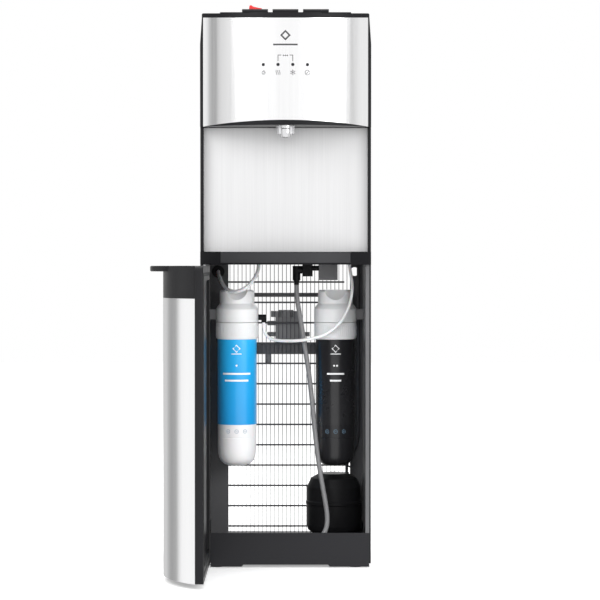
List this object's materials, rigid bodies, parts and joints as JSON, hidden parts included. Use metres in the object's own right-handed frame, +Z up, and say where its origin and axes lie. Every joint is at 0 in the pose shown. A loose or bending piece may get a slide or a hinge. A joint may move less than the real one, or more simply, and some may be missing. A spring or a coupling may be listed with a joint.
{
  "type": "free-standing water dispenser",
  "caption": "Tall water dispenser: bowed steel head with paddle taps, open alcove over a drip tray, and a lower compartment with twist-off filters behind a hinged steel door.",
  "frame": {"origin": "on the floor under the centre of the base, at the centre support foot", "axes": "+Z up along the cabinet, +X to the user's right, +Y towards the wall; the front faces -Y"},
  "size_m": [0.4015, 0.631, 1.043],
  "materials": {
    "brushed_steel": "vertical brushed stainless",
    "black_shell": "satin black moulding",
    "black_sheet": "black powder coat",
    "liner_grey": "dark liner sheet",
    "tray_plastic": "textured moulding",
    "chrome": "polished",
    "spout_grey": "satin",
    "red_plastic": "gloss",
    "white_plastic": "satin white moulding",
    "blue_label": "printed film on white",
    "black_label": "printed film on black",
    "white_tube": "polyethylene tube",
    "grey_tube": "silicone tube",
    "condenser_black": "black enamel",
    "zinc_sheet": "galvanised",
    "stainless": "drawn stainless",
    "foam": "expanded foam",
    "board": "circuit board",
    "rubber": "moulded rubber",
    "lens": "tinted lens"
  },
  "bodies": {
    "cabinet": {"alcove_back_panel": "brushed_steel", "alcove_cheeks": "black_shell", "base_pan": "tray_plastic", "cold_tank": "stainless", "compressor": "black_sheet", "condenser_tube": "condenser_black", "condenser_wires": "condenser_black", "control_boards": "board", "drain_spigot": "white_plastic", "filter_head_left": "white_plastic", "filter_head_right": "white_plastic", "head_shell": "black_shell", "head_steel_panel": "brushed_steel", "hinge_brackets": "stainless", "hose_fittings": "black_shell", "hot_tank": "stainless", "indicator_lenses": "lens", "left_liner": "liner_grey", "left_side_panel": "black_sheet", "link_hose": "white_tube", "mid_deck": "zinc_sheet", "paddle_rod": "stainless", "power_gland": "rubber", "probe_tip": "stainless", "pump_elbow": "black_shell", "rear_panel": "zinc_sheet", "rear_rails": "liner_grey", "rear_screws": "stainless", "refrigerant_line": "condenser_black", "right_liner": "liner_grey", "right_side_panel": "black_sheet", "rocker_frames": "black_shell", "rubber_feet": "rubber", "spout_housing": "spout_grey", "spout_nozzle": "chrome", "suction_hose": "grey_tube", "supply_hose": "white_tube", "tank_insulation": "foam", "top_cover": "black_shell", "tray_shelf": "black_shell", "valve_block": "black_shell", "water_inlet": "white_plastic", "water_pump": "black_sheet"},
    "door": {"door_liner": "black_shell", "door_gasket": "rubber", "door_steel_skin": "brushed_steel", "door_top_cap": "black_shell", "door_bottom_trim": "black_shell"},
    "tray": {"drip_tray": "tray_plastic", "drip_grille": "tray_plastic"},
    "hot_tap": {"hot_paddle": "black_shell"},
    "room_tap": {"room_paddle": "black_shell"},
    "cold_tap": {"cold_paddle": "black_shell"},
    "hot_lock": {"hot_safety_latch": "red_plastic"},
    "left_cartridge": {"filter_cartridge_left": "blue_label"},
    "right_cartridge": {"filter_cartridge_right": "black_label"},
    "hot_switch": {"hot_rocker": "red_plastic"},
    "cold_switch": {"cold_rocker": "black_shell"},
    "light_switch": {"light_rocker": "black_shell"},
    "drain_stopper": {"drain_cap": "black_shell"}
  },
  "joints": [
    {"name": "door_swing", "type": "hinge", "parent": "cabinet", "child": "door", "pos_m": [-0.15, -0.156, 0.28], "axis": [0, 0, -1], "range_deg": [-90, 15]},
    {"name": "tray_slide", "type": "slide", "parent": "cabinet", "child": "tray", "axis": [0, -1, 0], "range_m": [0, 0.09]},
    {"name": "hot_press", "type": "hinge", "parent": "cabinet", "child": "hot_tap", "pos_m": [-0.056, -0.147, 1.029], "axis": [1, 0, 0], "range_deg": [0, 4], "stiffness_Nm_per_rad": 0.6, "springref_deg": -11.46},
    {"name": "room_press", "type": "hinge", "parent": "cabinet", "child": "room_tap", "pos_m": [0, -0.147, 1.029], "axis": [1, 0, 0], "range_deg": [0, 4], "stiffness_Nm_per_rad": 0.6, "springref_deg": -11.46},
    {"name": "cold_press", "type": "hinge", "parent": "cabinet", "child": "cold_tap", "pos_m": [0.056, -0.147, 1.029], "axis": [1, 0, 0], "range_deg": [0, 4], "stiffness_Nm_per_rad": 0.6, "springref_deg": -11.46},
    {"name": "lock_slide", "type": "slide", "parent": "hot_tap", "child": "hot_lock", "axis": [0, 1, 0], "range_m": [0, 0.005], "stiffness_N_per_m": 60, "springref_m": -0.004},
    {"name": "left_twist", "type": "hinge", "parent": "cabinet", "child": "left_cartridge", "pos_m": [-0.095, 0.02, 0.3], "axis": [0, 0, 1], "range_deg": [0, 60]},
    {"name": "right_twist", "type": "hinge", "parent": "cabinet", "child": "right_cartridge", "pos_m": [0.095, 0.02, 0.3], "axis": [0, 0, 1], "range_deg": [0, 60]},
    {"name": "drain_turn", "type": "hinge", "parent": "cabinet", "child": "drain_stopper", "pos_m": [-0.096, 0.16, 0.64], "axis": [0, 1, 0], "range_deg": [0, 360]},
    {"name": "hot_rock", "type": "hinge", "parent": "cabinet", "child": "hot_switch", "pos_m": [0.07, 0.1465, 0.91], "axis": [1, 0, 0], "range_deg": [-7, 7]},
    {"name": "cold_rock", "type": "hinge", "parent": "cabinet", "child": "cold_switch", "pos_m": [0.098, 0.1465, 0.91], "axis": [1, 0, 0], "range_deg": [-7, 7]},
    {"name": "light_rock", "type": "hinge", "parent": "cabinet", "child": "light_switch", "pos_m": [0.126, 0.1465, 0.91], "axis": [1, 0, 0], "range_deg": [-7, 7]}
  ]
}
